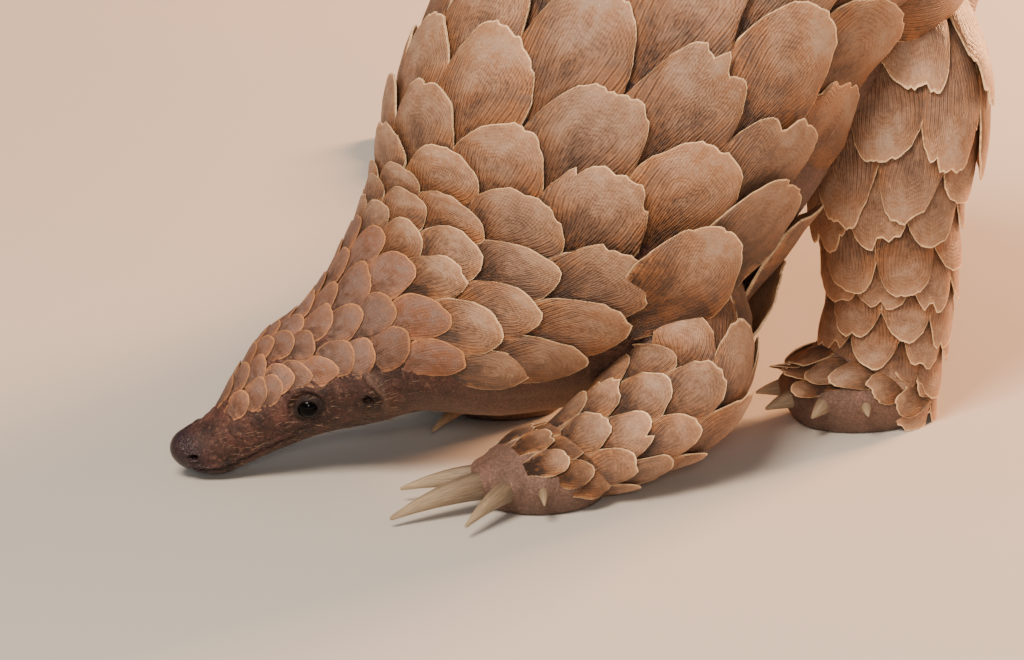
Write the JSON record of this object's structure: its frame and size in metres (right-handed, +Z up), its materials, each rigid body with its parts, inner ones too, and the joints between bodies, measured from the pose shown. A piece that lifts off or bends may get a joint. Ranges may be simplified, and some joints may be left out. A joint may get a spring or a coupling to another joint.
{
  "type": "ground pangolin",
  "caption": "Life-size still model of a ground pangolin standing with its head down to drink, back arched and tail swung round on the floor, covered in overlapping horn scales.",
  "frame": {"origin": "middle of the model's footprint box, at floor level", "axes": "+Z up; the head points to -X, the animal's left side faces -Y, and the tail lies along +Y"},
  "size_m": [0.4334, 0.603, 0.29],
  "materials": {
    "scale_horn": "ridged horn with worn pale edges, satin",
    "face": "bare wrinkled skin with small horn scales, satin",
    "hide": "bare wrinkled skin, matte",
    "claw_horn": "smooth worn horn, satin",
    "eye": "wet dark glass, gloss"
  },
  "bodies": {
    "root": {"head": "face", "neck": "scale_horn", "torso_front": "scale_horn", "torso_rear": "scale_horn", "tail_base": "scale_horn", "tail_middle": "scale_horn", "tail_tip": "scale_horn", "foreleg_left": "scale_horn", "foreleg_right": "scale_horn", "hindleg_left": "scale_horn", "hindleg_right": "scale_horn", "ear_left": "hide", "ear_right": "hide", "forefoot_left": "hide", "claw_forefoot_left_inner": "claw_horn", "claw_forefoot_left_second": "claw_horn", "claw_forefoot_left_middle": "claw_horn", "claw_forefoot_left_fourth": "claw_horn", "claw_forefoot_left_outer": "claw_horn", "forefoot_right": "hide", "claw_forefoot_right_inner": "claw_horn", "claw_forefoot_right_second": "claw_horn", "claw_forefoot_right_middle": "claw_horn", "claw_forefoot_right_fourth": "claw_horn", "claw_forefoot_right_outer": "claw_horn", "hindfoot_left": "hide", "claw_hindfoot_left_inner": "claw_horn", "claw_hindfoot_left_second": "claw_horn", "claw_hindfoot_left_middle": "claw_horn", "claw_hindfoot_left_fourth": "claw_horn", "claw_hindfoot_left_outer": "claw_horn", "hindfoot_right": "hide", "claw_hindfoot_right_inner": "claw_horn", "claw_hindfoot_right_second": "claw_horn", "claw_hindfoot_right_middle": "claw_horn", "claw_hindfoot_right_fourth": "claw_horn", "claw_hindfoot_right_outer": "claw_horn", "eye_left": "eye", "eye_right": "eye"}
  },
  "joints": []
}
